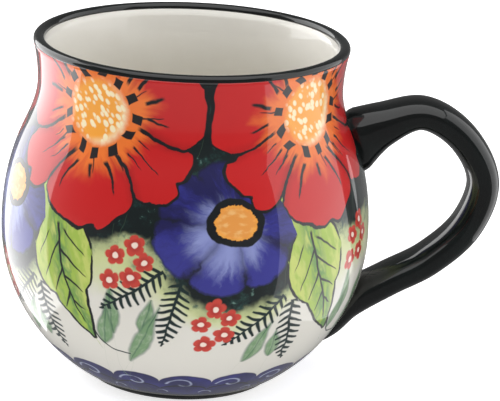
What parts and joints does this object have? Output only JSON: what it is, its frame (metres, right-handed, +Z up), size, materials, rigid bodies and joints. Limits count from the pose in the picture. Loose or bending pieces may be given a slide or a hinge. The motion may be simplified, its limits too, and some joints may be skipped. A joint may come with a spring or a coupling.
{
  "type": "bellied stoneware mug",
  "caption": "Round-bellied glazed stoneware mug with a narrowed neck, rolled lip, turned foot ring and a strap handle, hand-painted with flowers and leaves.",
  "frame": {"origin": "centre of the foot ring's flat underside, on the bowl's axis", "axes": "+Z up through the mouth, +X from the bowl's axis out through the middle of the handle, +Y to the left of the handle"},
  "size_m": [0.1255, 0.0928, 0.087],
  "materials": {
    "bare_stoneware": "matte",
    "dark_foot_glaze": "satin",
    "painted_glaze": "gloss",
    "cream_glaze": "gloss",
    "dark_green_glaze": "gloss"
  },
  "bodies": {
    "root": {"clay_pot": "bare_stoneware", "foot_ring": "dark_foot_glaze", "painted_glaze": "painted_glaze", "lining_glaze": "cream_glaze", "base_glaze": "cream_glaze", "lip_band": "dark_green_glaze", "handle": "dark_green_glaze", "upper_handle_joint": "dark_green_glaze", "lower_handle_joint": "dark_green_glaze"}
  },
  "joints": []
}
